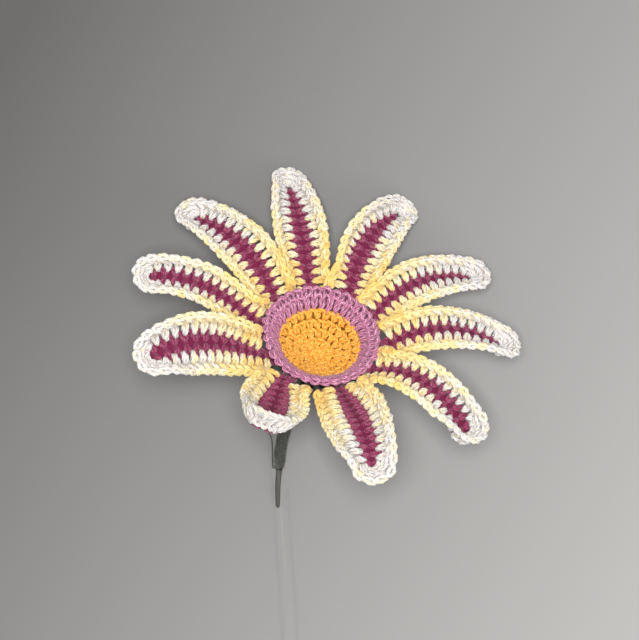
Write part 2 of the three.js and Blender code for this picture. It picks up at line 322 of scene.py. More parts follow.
def spread(path, step):
    """The same line with its places spread anew, a step apart where it is straight and closer
    where it bends. The last column of the result is the length up to each place."""
    leg = np.diff(path[:, :3], axis=0)
    length = np.linalg.norm(leg, axis=1) + 1e-9
    direction = leg / length[:, None]
    cosine = np.clip(np.sum(direction[1:] * direction[:-1], 1), -1, 1)
    bend = np.append(np.arccos(cosine) / length[1:], 0)
    travelled = np.concatenate([[0], np.cumsum(length)])
    weighted = np.concatenate([[0], np.cumsum(length * (1 + 0.45 * np.minimum(bend, 3)))])
    places = np.linspace(0, weighted[-1], max(int(weighted[-1] / step), 2))
    columns = [np.interp(places, weighted, column) for column in (*path.T, travelled)]
    return np.stack(columns, 1)


def frames(path):
    """Two unit vectors square to a path at each place, and the angle by which to turn them so that
    they follow the path without spinning: each is carried to the next place by the smallest turn
    from one tangent to the next, and the angles to the vectors found there are added up."""
    tangent = unit(np.gradient(path, axis=0))
    helper = np.eye(3)[np.argmin(np.abs(tangent), axis=1)]
    across = unit(np.cross(tangent, helper))
    start, end = tangent[:-1], tangent[1:]
    axis = np.cross(start, end)
    cosine = np.sum(start * end, 1)[:, None]
    old, new = across[:-1], across[1:]
    carried = old + np.cross(axis, old) + np.cross(axis, np.cross(axis, old)) / (1 + cosine)
    sine = np.sum(np.cross(carried, new) * end, 1)
    angle = np.arctan2(sine, np.sum(carried * new, 1))
    return across, np.cross(tangent, across), np.concatenate([[0], -np.cumsum(angle)])


def strand(places, shade, painted_shade, yarn):
    """Yarn along a line of places, each with its shade and its share of painted shade, which
    darkens the yarn where it lies deep in the work. Its section has three plies, radius r (1 +
    relief cos 3a) at angle a, and turns with the length travelled, once a pitch."""
    path = spread(spline(np.column_stack([places, shade, painted_shade])), yarn.step)
    centre, shade, painted_shade, travelled = path[:, :3], path[:, 3], path[:, 4], path[:, 5]
    across, aside, turn = frames(centre)
    angle = 2 * np.pi * np.arange(STRAND_SIDES) / STRAND_SIDES
    r = yarn.radius * (1 + yarn.relief * np.cos(PLIES * angle))
    full = angle[None] + (turn + 2 * np.pi * travelled / yarn.pitch)[:, None]
    out = np.cos(full)[..., None] * across[:, None] + np.sin(full)[..., None] * aside[:, None]
    points = centre[:, None] + r[None, :, None] * out
    return {"points": points, "shade": shade, "painted_shade": painted_shade, "travelled": travelled}


def tube_of(centre, radius, sides):
    """A round tube of even section along a line of places, coloured wholly in painted shade."""
    across, aside, turn = frames(centre)
    angle = 2 * np.pi * np.arange(sides) / sides + turn[:, None]
    out = np.cos(angle)[..., None] * across[:, None] + np.sin(angle)[..., None] * aside[:, None]
    radius = np.broadcast_to(radius, len(centre))
    points = centre[:, None] + radius[:, None, None] * out
    return {"points": points, "shade": np.zeros(len(centre)), "painted_shade": np.ones(len(centre)),
            "travelled": way_along(centre)}


def sheet(points, shade=0.0, loop=False):
    """A thin closed body over rows of closed loops of points, coloured wholly in painted shade.
    With
    `loop` the last row joins the first; otherwise each end is closed by one face."""
    rows = len(points)
    return {"points": points, "shade": np.broadcast_to(shade, rows), "painted_shade": np.ones(rows),
            "loop": loop, "travelled": np.linspace(0, 1, rows)}


# ---- meshes ----

def volume(points, quads):
    """Six times the volume of the tetrahedra from the origin to each half of each quad, added up:
    above zero where the faces point outwards."""
    a, b, c, d = (points[quads[:, i]] for i in range(4))
    return np.sum(a * np.cross(b, c)) + np.sum(a * np.cross(c, d))


def grid(part, offset):
    """The faces of one part as vertex numbers, with the corner UVs: a quad from each place to the
    next place round and along, and an end face at each end of an open part. U is the length along
    in centimetres and V the share of the way round."""
    rows, columns, _ = part["points"].shape
    loop = part.get("loop", False)
    i, j = np.meshgrid(np.arange(rows if loop else rows - 1), np.arange(columns), indexing="ij")
    i, j = i.ravel(), j.ravel()
    below, right = (i + 1) % rows, (j + 1) % columns
    quads = np.stack([i * columns + j, i * columns + right, below * columns + right,
                      below * columns + j], 1)
    along = part["travelled"] / 10
    v = np.stack([j, j + 1, j + 1, j], 1) / columns
    u = np.stack([along[i], along[i], along[below], along[below]], 1)
    if volume(part["points"].reshape(-1, 3), quads) < 0:
        quads, u, v = quads[:, ::-1], u[:, ::-1], v[:, ::-1]
        first, last = np.arange(columns), np.arange(columns)[::-1]
    else:
        first, last = np.arange(columns)[::-1], np.arange(columns)
    corners, totals = [quads.ravel()], [np.full(len(quads), 4)]
    uv = [np.stack([u.ravel(), v.ravel()], 1)]
    if not loop:
        for row, order in ((0, first), (rows - 1, last)):
            corners.append(row * columns + order)
            totals.append(np.array([columns]))
            uv.append(np.stack([np.full(columns, along[row]), order / columns], 1))
    return np.concatenate(corners) + offset, np.concatenate(totals), np.concatenate(uv)


def build(name, parts, material, replaced, moved=on_table):
    """One piece of many parts in one mesh, in its place on the table, riding on the body."""
    points = [moved(part["points"]).reshape(-1, 3) for part in parts]
    offsets = np.cumsum([0] + [len(p) for p in points])
    faces = [grid(part, offset) for part, offset in zip(parts, offsets)]
    places = np.concatenate(points) * MM
    corners, totals, uv = (np.concatenate(column) for column in zip(*faces))
    mesh = bpy.data.meshes.new(name)
    mesh.vertices.add(len(places))
    mesh.vertices.foreach_set("co", places.astype(np.float32).ravel())
    mesh.loops.add(len(corners))
    mesh.loops.foreach_set("vertex_index", corners.astype(np.int32))
    mesh.polygons.add(len(totals))
    mesh.polygons.foreach_set("loop_start", (np.cumsum(totals) - totals).astype(np.int32))
    mesh.polygons.foreach_set("loop_total", totals.astype(np.int32))
    mesh.polygons.foreach_set("use_smooth", np.ones(len(totals), bool))
    mesh.update(calc_edges=True)
    layer = mesh.uv_layers.new(name="Along")
    layer.data.foreach_set("uv", uv.astype(np.float32).ravel())
    # Each place's Shade and its share of painted shade go to the mesh as attributes.
    for key in ("shade", "painted_shade"):
        values = [np.repeat(part[key], part["points"].shape[1]) for part in parts]
        layer = mesh.attributes.new(key.capitalize(), "FLOAT", "POINT")
        layer.data.foreach_set("value", np.concatenate(values).astype(np.float32))
    if mesh.validate():
        raise RuntimeError(f"{name}'s mesh had broken faces")
    mesh.materials.append(material)
    piece = bpy.data.objects.new(name, mesh)
    bpy.context.scene.collection.objects.link(piece)
    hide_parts(*replaced)
    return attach(piece, "root")


# ---- petals ----

def centre_line(petal):
    """The petal's centre line in 80 equal steps, as place, along, side and up at each. Its slope is
    rise (1-u)(1-2u) + crest 4u(1-u) + droop u(2u-1) and its heading turns evenly from root to
    tip. Side is level at the ring, and then turned about the line by the petal's twist."""
    at, length, (rise, crest, droop), turn, roll = petal[:5]
    steps = 80
    u = np.linspace(0, 1, steps + 1)
    slope = np.radians(rise * (1 - u) * (1 - 2 * u) + crest * 4 * u * (1 - u)
                       + droop * u * (2 * u - 1))
    heading = np.radians(at + mix(turn[0], turn[1], u))
    along = polar(np.cos(slope), heading, np.sin(slope))
    level = np.stack([-np.sin(heading), np.cos(heading), np.zeros_like(u)], 1)
    side = turned(level, along, np.radians(mix(roll[0], roll[1], u) * np.clip(8 * u, 0, 1)))
    legs = (along[1:] + along[:-1]) * (length / steps / 2)
    start = polar(ROOT_RADIUS, math.radians(at), ROOT_HEIGHT)
    place = start + np.concatenate([np.zeros((1, 3)), np.cumsum(legs, axis=0)])
    return {"place": place, "along": along, "side": side, "up": np.cross(along, side)}


def place_at(petal, line, s):
    """Place, along, side and up at distances s from the ring. Before that the petal's tab runs
    down and inwards behind the ring, and past the end the petal runs straight on."""
    at, length = petal[:2]
    share = np.clip(s / length, 0, 1) * (len(line["place"]) - 1)
    found = {key: np.stack([np.interp(share, np.arange(len(rows)), column)
                            for column in rows.T], 1) for key, rows in line.items()}
    tab = np.minimum(s, 0)
    slope = math.radians(ROOT_SLOPE)
    inwards = polar(tab * math.cos(slope), math.radians(at), tab * math.sin(slope))
    beyond = np.maximum(s - length, 0)[:, None] * found["along"]
    return found["place"] + inwards + beyond, found["along"], found["side"], found["up"]


def half_width(petal, u):
    """Half the stripe's width: even from root to tip, and fuller between by a sine arch that
    brings it to its middle width."""
    root, middle, tip = petal[6]
    return mix(root, tip, u) + (middle - (root + tip) / 2) * np.sin(np.pi * np.clip(u, 0, 1))


def half_at(petal, s):
    """Half the stripe's width at distances s from the ring, with half a round beyond its end."""
    length, tip = petal[1], petal[6][2]
    beyond = np.clip((s - length) / tip, 0, 1)
    return half_width(petal, np.clip(s / length, 0, 1)) * np.sqrt(1 - beyond * beyond)


def wall_slope(petal, u, tip, out):
    """How steeply the edging stands up: flat under the ring, soon steeper, then between its left
    and right slopes by the way round the tip, and with its own slope round the tip."""
    left, right, end = petal[5]
    middle = mix(left, right, tip)
    root = 0.5 * (80 - middle) * np.clip(1 - u / 0.5, 0, 1)
    slope = (middle + root) * np.clip(out / 5, 0, 1)
    return np.radians(slope + (end - middle) * np.clip((u - 0.75) / 0.25, 0, 1))


def wall_height(petal, stitch, out):
    """The edging's height: EDGE_LOW where it starts, and then its own on the sides and the tip."""
    side, tip = petal[7]
    from_tip = (stitch - EDGE_STITCHES / 2) / 3
    full = side + (tip - side) * np.exp(-from_tip * from_tip)
    return mix(EDGE_LOW, full, np.clip(out / EDGE_RUN, 0, 1))


def edge_place(petal, line, stitch, share, more, front):
    """Places in the edging, which runs up the stripe's left side, round its tip and down its right
    side. A place is `share` of the way from the foot on the stripe's face to the rim of the wall,
    and `more` beyond, and `front` millimetres before the wall's middle. The wall bends up from
    the face by smooth(e) of its slope at a distance e from the stripe's outline."""
    stitch = np.clip(stitch, 0, EDGE_STITCHES)
    tip = np.clip((stitch - SIDE_STITCHES) / TIP_STITCHES, 0, 1)
    left = stitch <= SIDE_STITCHES + TIP_STITCHES / 2
    u = np.clip(np.where(left, stitch, EDGE_STITCHES - stitch) / SIDE_STITCHES, 0, 1)
    length = petal[1]
    turn = np.pi * tip
    bent = math.sin(math.radians(petal[3][0]))
    start = EDGE_START + EDGE_SKEW * np.maximum(bent * (1 - 2 * tip), 0)
    s = mix(start, length, u) + half_width(petal, 1) * np.sin(turn)
    place, along, side, up = place_at(petal, line, s)
    out = side * np.cos(turn)[:, None] + along * np.sin(turn)[:, None]
    half = half_width(petal, np.minimum(s / length, 1))
    place = place + side * (half * np.cos(turn))[:, None]
    foot = EDGE_FOOT * np.clip(half / 1.8, 0.25, 1)
    rim = wall_height(petal, stitch, s - start)
    e = mix(-foot, rim, share) + more * np.clip(rim / EDGE_WALL, 0.3, 1)
    bend = wall_slope(petal, u, tip, s - start) * smooth((e + 0.3) / 1.6)
    o = 0.4 + e * np.cos(bend) - front * np.sin(bend)
    h = 0.45 + e * np.sin(bend) + front * np.cos(bend)
    shade = np.clip(s / length, 0, 1) + 0.3 * (0.4 - share)
    return place + out * o[:, None] + up * h[:, None], shade


def row_of(stitches, first, pattern):
    """The knots of a row of like stitches: along, share, more and front, one stitch after the
    next, as four columns."""
    knots = np.tile(pattern, (stitches, 1))
    knots[:, 0] += np.repeat(np.arange(stitches), len(pattern)) + first
    return knots.T


def painted_shade_share(share, front):
    """The share of painted shade at a place in a stitch: 1 in the middle layer and 0 on either face
    and from the rim's share upwards."""
    return np.clip(1 - np.abs(front) / HIDDEN_DEPTH, 0, 1) * (share < RIM_SHARE)


def uneven(knots, amount, seed):
    """The same knots with each moved a little at random, as hand work is."""
    draw = np.random.default_rng(seed)
    wobble = draw.normal(0, 1, knots.shape) * np.array([[0.02], [0.0], [0.07], [0.06]])
    return knots + amount * wobble


def edging_parts(petal, line, yarn, seed):
    """The petal's edging: one row of single crochet and a thin core within the wall, the core
    coloured with a little under half of the full painted shade.
    """
    rows = [row_of(SIDE_STITCHES, -0.5, EDGE_STITCH),
            row_of(TIP_STITCHES, SIDE_STITCHES - 0.5, TIP_STITCH),
            row_of(SIDE_STITCHES, SIDE_STITCHES + TIP_STITCHES - 0.5, EDGE_STITCH)]
    along, share, more, front = uneven(np.concatenate(rows, 1), 1.5, seed)
    places, shade = edge_place(petal, line, along, share, more, front)
    yarn_part = strand(places, shade, painted_shade_share(share, front), yarn)
    stations = np.linspace(0.2, EDGE_STITCHES - 0.2, 3 * EDGE_STITCHES)
    at_tip = np.exp(-((stations - EDGE_STITCHES / 2) / 3) ** 2)
    foot = mix(0.55, 0.12, at_tip)
    section = [(foot, 0.16), (0.7, 0.16), (0.9, 0.1), (0.9, -0.1), (0.7, -0.16), (foot, -0.16)]
    columns = [edge_place(petal, line, stations, np.zeros_like(stations) + share_up, 0.0, depth)
               for share_up, depth in section]
    core = sheet(np.stack([places for places, _ in columns], 1), columns[0][1])
    # The core takes a little under half the full painted shade, seen between the legs.
    core["painted_shade"] = np.full(len(stations), 0.45)
    return [yarn_part, core]


def stripe_place(petal, line, s, across, share, more, front):
    """Places in the stripe: at a distance s from the ring, `share` of the way from its middle line
    to its outline on the side that `across` gives, and `front` before its middle layer."""
    place, _, side, up = place_at(petal, line, s)
    half = half_at(petal, s) + STRIPE_UNDER
    o = across * (share * half + more * np.clip(half / 3, 0.2, 1))
    return place + side * o[:, None] + up * (front - 0.42)[:, None]


def stripe_parts(petal, line, yarn, seed):
    """The stripe: single crochet worked outwards from a middle line, up one side and down the
    other, with a thin core that runs on into the tab and is coloured wholly in painted shade."""
    length, tip = petal[1], petal[6][2]
    parts = []
    for across in (1, -1):
        along, share, more, front = uneven(row_of(SIDE_STITCHES, -0.5, SINGLE_CROCHET), 1, seed)
        s = mix(-2.0, length + 0.7 * tip, np.clip(along, -0.2, SIDE_STITCHES) / SIDE_STITCHES)
        outwards = mix(0.12, 0.9, share)
        places = stripe_place(petal, line, s, across, outwards, more * 0.5, front * 0.7)
        parts.append(strand(places, s / length, painted_shade_share(share, front), yarn))
    stations = np.concatenate([np.linspace(-ROOT_TAB, length - 0.5, 40),
                               length + tip * np.array([0, 0.3, 0.6, 0.8, 0.93])])
    section = [(-0.85, 0.1), (0, 0.16), (0.85, 0.1), (0.85, -0.1), (0, -0.16), (-0.85, -0.1)]
    columns = [stripe_place(petal, line, stations, 1, share_out, 0, np.full_like(stations, depth))
               for share_out, depth in section]
    parts.append(sheet(np.stack(columns, 1), stations / length))
    return parts


# ---- rounds ----

def disc_height(r):
    """The disc's bowl, -sunk (1 - (r / radius)^2)."""
    return -DISC_SUNK * (1 - (r / DISC_RADIUS) ** 2)


def ring_height(r):
    """The ring's flare, a parabola through its inner edge, middle and outer edge."""
    t = (r - RING_INNER) / (RING_OUTER - RING_INNER)
    return mix(0.1, RING_RISE, t) + 4 * 0.32 * t * (1 - t)


def backing_height(r):
    """The backing's cup, flat at its rim and deepest where the stem meets it."""
    t = np.clip(r / BACKING_RADIUS, 0, 1)
    return mix(-BACKING_DEPTH + 0.3, BACKING_TOP - 0.5, 1 - (1 - t) ** 0.8 * (1 - 0.35 * t))


def round_place(height, r, angle, front):
    """Places on a surface of revolution, moved along its normal (-height'(r), 0, 1) by front."""
    rise = (height(r + 0.05) - height(r - 0.05)) / 0.1
    length = np.sqrt(1 + rise * rise)
    return polar(r - front * rise / length, angle, height(r) + front / length)


def round_parts(height, inner, outer, stitches, yarn, pattern, seed, start=0.0, facing=1, sink=0.0):
    """One round of stitches from an inner to an outer radius, with `start` as its first angle."""
    along, share, more, front = uneven(row_of(stitches, 0, pattern), 2, seed)
    r = np.maximum(mix(inner, outer, share) + more, 0.15)
    angle = start + 2 * np.pi * along / stitches
    places = round_place(height, r, angle, facing * front - sink)
    return strand(places, r / RING_OUTER, painted_shade_share(share, front), yarn)


def bowl(height, radii, around, top, thick):
    """A thin round sheet between two radii, closed, from its front to its back, wholly in painted
    shade, for the darkness seen between the stitches over it.
    """
    angle = 2 * np.pi * np.arange(around) / around
    rows = [(r, top) for r in radii] + [(r, top - thick) for r in radii[::-1]]
    points = [round_place(height, np.full(around, r), angle, depth) for r, depth in rows]
    return sheet(np.stack(points), 0.5, loop=True)


# ---- materials ----

def node(tree, kind, **settings):
    """A new node with some of its settings and inputs set, by name."""
    made = tree.nodes.new(kind)
    for key, value in settings.items():
        if key in made.inputs:
            made.inputs[key].default_value = value
        else:
            setattr(made, key, value)
    return made


def math_node(tree, operation, first, second=None):
    """A Math node whose inputs are sockets or numbers."""
    made = node(tree, "ShaderNodeMath", operation=operation)
    for socket, value in zip(made.inputs, (first, second)):
        if isinstance(value, (int, float)):
            socket.default_value = value
        elif value is not None:
            tree.links.new(value, socket)
    return made.outputs[0]


def spun_cotton():
    """The group for spun yarn: grooves between its plies, and fine fibres that run with them."""
    if "Spun cotton" in bpy.data.node_groups:
        return bpy.data.node_groups["Spun cotton"]
    group = bpy.data.node_groups.new("Spun cotton", "ShaderNodeTree")
    sockets = group.interface
    fibres = sockets.new_socket("Fibres", in_out="INPUT", socket_type="NodeSocketFloat")
    fibres.default_value = 26.0
    for name in ("Groove", "Fibre", "Height"):
        sockets.new_socket(name, in_out="OUTPUT", socket_type="NodeSocketFloat")
    inside, outside = group.nodes.new("NodeGroupInput"), group.nodes.new("NodeGroupOutput")
    uv = node(group, "ShaderNodeUVMap", uv_map="Along")
    split = node(group, "ShaderNodeSeparateXYZ")
    group.links.new(uv.outputs[0], split.inputs[0])
    around = math_node(group, "MULTIPLY", split.outputs["Y"], 2 * math.pi * PLIES)
    wave = math_node(group, "COSINE", around)
    groove = math_node(group, "MULTIPLY_ADD", wave, -0.5)
    groove.node.inputs[2].default_value = 0.5
    long = math_node(group, "MULTIPLY", split.outputs["X"], 5.0)
    fine = math_node(group, "MULTIPLY", split.outputs["Y"], inside.outputs["Fibres"])
    joined = node(group, "ShaderNodeCombineXYZ")
    group.links.new(long, joined.inputs["X"])
    group.links.new(fine, joined.inputs["Y"])
    noise = node(group, "ShaderNodeTexNoise", Scale=1.0, Detail=3.0, Roughness=0.6)
    group.links.new(joined.outputs[0], noise.inputs["Vector"])
    sunk = math_node(group, "MULTIPLY", groove, 0.8)
    height = math_node(group, "SUBTRACT", noise.outputs["Fac"], sunk)
    group.links.new(groove, outside.inputs["Groove"])
    group.links.new(noise.outputs["Fac"], outside.inputs["Fibre"])
    group.links.new(height, outside.inputs["Height"])
    return group


def mixed(tree, factor, first, second, blend="MIX"):
    """A colour mixed from two colours or sockets by a factor."""
    made = node(tree, "ShaderNodeMix", data_type="RGBA", blend_type=blend)
    sockets = (made.inputs[0], made.inputs[6], made.inputs[7])
    for socket, value in zip(sockets, (factor, first, second)):
        if isinstance(value, bpy.types.NodeSocket):
            tree.links.new(value, socket)
        else:
            socket.default_value = value
    return made.outputs[2]


def opaque(colour):
    """A colour of three numbers with an alpha of one."""
    return (*colour, 1.0)


def cotton(name, shade_and_patch_colour, light, ramp=None, rough=0.5, sheen=0.3, hole=0.3, gloss=0.5):
    """Mercerised cotton: a colour between deep in the grooves and light on the plies, or from a
    ramp of colours by the Shade attribute and patches along the yarn, with fine fibres. The deep
    colour in the grooves is painted shade, and more painted shade darkens the yarn where it lies
    deep in the work, down to `hole` times the shaded colour, with its gloss dimmed there."""
    material = bpy.data.materials.new(name)
    material.use_nodes = True
    tree = material.node_tree
    shader = tree.nodes["Principled BSDF"]
    spun = node(tree, "ShaderNodeGroup", node_tree=spun_cotton())
    patches = node(tree, "ShaderNodeTexNoise", Scale=1.0, Detail=2.0)
    uv = node(tree, "ShaderNodeUVMap", uv_map="Along")
    stretch = node(tree, "ShaderNodeMapping")
    stretch.inputs["Scale"].default_value = (1.3, 0.0, 1.0)
    tree.links.new(uv.outputs[0], stretch.inputs[0])
    tree.links.new(stretch.outputs[0], patches.inputs["Vector"])
    if ramp:
        shade = node(tree, "ShaderNodeAttribute", attribute_name="Shade")
        patch = math_node(tree, "MULTIPLY_ADD", patches.outputs["Fac"], 2.2)
        patch.node.inputs[2].default_value = -1.0
        place = math_node(tree, "ADD", shade.outputs["Fac"], patch)
        colours = node(tree, "ShaderNodeValToRGB")
        stops = colours.color_ramp.elements
        while len(stops) < len(ramp):
            stops.new(0.5)
        for stop, (position, colour) in zip(stops, ramp):
            stop.position = position
            stop.color = opaque(colour)
        tree.links.new(place, colours.inputs["Fac"])
        base = colours.outputs["Color"]
        # The shaded colour for the painted shade: the ramp's colour times the deeper one.
        painted_shade_colour = mixed(tree, 1.0, base, opaque(shade_and_patch_colour), "MULTIPLY")
    else:
        between = mix(np.array(shade_and_patch_colour), np.array(light), 0.6)
        base = mixed(tree, patches.outputs["Fac"], opaque(light), opaque(between))
        # The deeper colour is the shaded colour for the painted shade.
        painted_shade_colour = opaque(shade_and_patch_colour)
    # Painted shade in the grooves between the plies.
    groove = math_node(tree, "MULTIPLY", spun.outputs["Groove"], 0.75)
    groove_shaded_colour = mixed(tree, groove, base, painted_shade_colour)
    # Painted shade where the yarn lies deep in the work, down to hole times the shaded colour.
    painted_shade = node(tree, "ShaderNodeAttribute", attribute_name="Painted_shade")
    depth = math_node(tree, "MULTIPLY", painted_shade.outputs["Fac"], 0.85)
    deepest_painted_shade = mixed(tree, 1.0, painted_shade_colour, opaque((hole, hole, hole)), "MULTIPLY")
    tree.links.new(mixed(tree, depth, groove_shaded_colour, deepest_painted_shade), shader.inputs["Base Color"])
    bump = node(tree, "ShaderNodeBump", Strength=0.5, Distance=0.00012)
    tree.links.new(spun.outputs["Height"], bump.inputs["Height"])
    tree.links.new(bump.outputs["Normal"], shader.inputs["Normal"])
    shader.inputs["Roughness"].default_value = rough
    shader.inputs["Sheen Weight"].default_value = sheen
    shader.inputs["Sheen Roughness"].default_value = 0.4
    # The gloss is dimmed in step with the painted shade.
    shine = math_node(tree, "MULTIPLY_ADD", painted_shade.outputs["Fac"], -gloss)
    shine.node.inputs[2].default_value = gloss
    tree.links.new(shine, shader.inputs["Specular IOR Level"])
    return material


def plain(name, rough, colour=None):
    """A material with a roughness and, where one is given, a colour, and its shader."""
    material = bpy.data.materials.new(name)
    material.use_nodes = True
    shader = material.node_tree.nodes["Principled BSDF"]
    shader.inputs["Roughness"].default_value = rough
    if colour:
        shader.inputs["Base Color"].default_value = opaque(colour)
    return material, shader


# ---- sizes and colours ----

def length(name, description, default):
    """A length property in metres, from a default in millimetres."""
    return bpy.props.FloatProperty(name=name, description=description, default=default * MM,
                                   min=0.0, unit="LENGTH", precision=5)


def colour(name, description, default):
    """A colour property, from linear red, green and blue."""
    return bpy.props.FloatVectorProperty(name=name, description=description, default=default,
                                         min=0.0, max=1.0, size=3, subtype="COLOR")


class GAZANIA_PG_yarn(bpy.types.PropertyGroup):
    """The sizes of the crochet cotton."""

    thickness: length("Thickness", "Thickness of the petals' cotton", 1.0)
    disc_thickness: length("Disc thickness", "Thickness of the disc's cotton", 1.0)
    ring_thickness: length("Ring thickness", "Thickness of the ring's cotton", 0.84)
    pitch: length("Twist", "Length in which the plies turn once", 4.4)
    step: length("Step", "Distance between two places along the yarn", 0.58)
    relief: bpy.props.FloatProperty(name="Relief", description="How far the plies stand out",
                                    default=0.17, min=0.0, max=0.3, subtype="FACTOR")


class GAZANIA_PG_colours(bpy.types.PropertyGroup):
    """The colours of the flower and its setting."""

    white: colour("White", "Edging at the tips", (0.69, 0.695, 0.74))
    cream: colour("Cream", "Edging in the middle", (0.84, 0.77, 0.55))
    yellow: colour("Yellow", "Edging nearer the ring", (0.86, 0.69, 0.31))
    golden: colour("Golden", "Edging at the ring", (0.90, 0.60, 0.18))
    burgundy: colour("Burgundy", "Stripes of the petals", (0.31, 0.035, 0.11))
    mauve: colour("Mauve", "Ring round the disc", (0.70, 0.25, 0.44))
    orange: colour("Orange", "Disc", (1.0, 0.57, 0.075))
    green: colour("Green", "Wrapping of the stem", (0.05, 0.053, 0.045))
    floor: colour("Floor", "Floor under the flower", (0.335, 0.333, 0.331))


class Sizes:
    """The yarn's sizes in millimetres, read once from the scene's properties."""

    def __init__(self, thickness):
        yarn = bpy.context.scene.gazania_yarn
        self.radius = thickness / MM / 2
        self.pitch = yarn.pitch / MM
        self.step = yarn.step / MM
        self.relief = yarn.relief


# ---- operators ----

class GAZANIA_OT_petals(bpy.types.Operator):
    """Work the ten petals, each a burgundy stripe with a pale edging"""

    bl_idname = "gazania.petals"
    bl_label = "Petals"

    def execute(self, context):
        colours = context.scene.gazania_colours
        edge_yarn = Sizes(context.scene.gazania_yarn.thickness)
        burgundy = cotton("Burgundy cotton", np.array(colours.burgundy) * 0.5, colours.burgundy,
                          hole=0.9)
        ramp = ((0.0, colours.golden), (0.24, colours.yellow), (0.56, colours.cream),
                (0.92, colours.white))
        cream = cotton("Variegated cotton", (0.82, 0.68, 0.48), colours.cream, ramp, hole=0.5)
        for i, petal in enumerate(PETALS):
            line = centre_line(petal)
            name = f"petal_{i + 1}"
            build(f"{name}_stripe_yarn", stripe_parts(petal, line, edge_yarn, 10 + i), burgundy,
                  [f"{name}_stripe"])
            build(f"{name}_edge_yarn", edging_parts(petal, line, edge_yarn, 30 + i), cream,
                  [f"{name}_edge"])
        return {"FINISHED"}


class GAZANIA_OT_disc(bpy.types.Operator):
    """Work the disc in five rounds"""

    bl_idname = "gazania.disc"
    bl_label = "Disc"

    def execute(self, context):
        yarn = Sizes(context.scene.gazania_yarn.disc_thickness)
        orange = context.scene.gazania_colours.orange
        material = cotton("Orange cotton", np.array(orange) * np.array([0.65, 0.32, 0.25]), orange,
                          sheen=0.1, hole=0.1)
        width = DISC_RADIUS / len(DISC_STITCHES)
        # Under the stitches lies a sheet in painted shade, here down to a tenth of the shaded
        # colour, which shows as darkness in the gaps.
        parts = [bowl(disc_height, np.linspace(0.3, DISC_RADIUS - 0.5, 6), 48, -0.55, 0.5)]
        for i, stitches in enumerate(DISC_STITCHES):
            parts.append(round_parts(disc_height, (i + 0.1) * width, (i + 0.88) * width, stitches,
                                     yarn, SINGLE_CROCHET, 60 + i, start=0.7 * i, sink=0.45))
        build("disc_yarn", parts, material, ["disc"])
        return {"FINISHED"}


class GAZANIA_OT_ring(bpy.types.Operator):
    """Work the ring round the disc, with its scalloped rim"""

    bl_idname = "gazania.ring"
    bl_label = "Ring"

    def execute(self, context):
        yarn = Sizes(context.scene.gazania_yarn.ring_thickness)
        mauve = context.scene.gazania_colours.mauve
        material = cotton("Mauve cotton", np.array(mauve) * 0.32, mauve, rough=0.32, hole=0.35,
                          gloss=0.9)
        middle = (RING_INNER + RING_OUTER) / 2
        arched = SINGLE_CROCHET.copy()
        arched[:6, 2] += np.array([-0.3, 0.2, 0.25, -0.3, 0.2, 0.15])
        radii = np.linspace(RING_INNER - 0.2, RING_OUTER - 0.7, 5)
        # Under the stitches lies a sheet in painted shade, seen in the gaps.
        parts = [bowl(ring_height, radii, 72, -0.35, 0.4),
                 round_parts(ring_height, RING_INNER - 0.5, middle + 0.1, RING_SCALLOPS + 2, yarn,
                             SINGLE_CROCHET, 70, sink=0.25),
                 round_parts(ring_height, middle - 0.9, RING_OUTER - 0.5, RING_SCALLOPS, yarn,
                             arched, 71, start=0.1, sink=0.25)]
        build("ring_yarn", parts, material, ["ring"])
        return {"FINISHED"}


class GAZANIA_OT_backing(bpy.types.Operator):
    """Work the green cup behind the disc"""

    bl_idname = "gazania.backing"
    bl_label = "Backing"

    def execute(self, context):
        yarn = Sizes(context.scene.gazania_yarn.thickness)
        material = green_cotton()
        width = BACKING_RADIUS / BACKING_ROUNDS
        # Under the stitches lies a sheet in painted shade, seen in the gaps.
        parts = [bowl(backing_height, np.linspace(0.3, BACKING_RADIUS - 0.5, 7), 48, 0.5, 0.5)]
        for i in range(BACKING_ROUNDS):
            parts.append(round_parts(backing_height, (i - 0.25) * width, (i + 0.95) * width,
                                     (i + 1) * BACKING_PER_ROUND, yarn, SINGLE_CROCHET, 80 + i,
                                     start=0.5 * i, facing=-1))
        build("backing_yarn", parts, material, ["backing"])
        return {"FINISHED"}


def green_cotton():
    """The stem's grey-green cotton, made once."""
    if "Green cotton" in bpy.data.materials:
        return bpy.data.materials["Green cotton"]
    green = bpy.context.scene.gazania_colours.green
    return cotton("Green cotton", np.array(green) * 0.5, green, rough=0.8, sheen=0.2)


def route(places, count=160):
    """A smooth line through places on the way of the stem, as equal steps of a Catmull-Rom curve:
    each span is half of (2b + (c-a)u + (2a-5b+4c-d)u^2 + (3b-a-3c+d)u^3) between b and c."""
    knots = np.array(places, float)
    knots = np.concatenate([[2 * knots[0] - knots[1]], knots, [2 * knots[-1] - knots[-2]]])
    u = np.linspace(0, 1, 20, endpoint=False)[None, :, None]
    a, b, c, d = (knots[i:len(knots) - 3 + i, None] for i in range(4))
    line = (2 * b + (c - a) * u + (2 * a - 5 * b + 4 * c - d) * u**2
            + (3 * b - a - 3 * c + d) * u**3) / 2
    line = np.concatenate([line.reshape(-1, 3), knots[-2:-1]]) + BLOOM_CENTRE
    travelled = way_along(line)
    places = np.linspace(0, travelled[-1], count)
    return np.stack([np.interp(places, travelled, column) for column in line.T], 1)


def stem_taper(travelled, total):
    """The stem's thickness as a share of its full one: thinner towards its lower end."""
    end = (travelled - total + STEM_THINS_OVER) / STEM_THINS_OVER
    return 1 - STEM_THINNING * smooth(end)


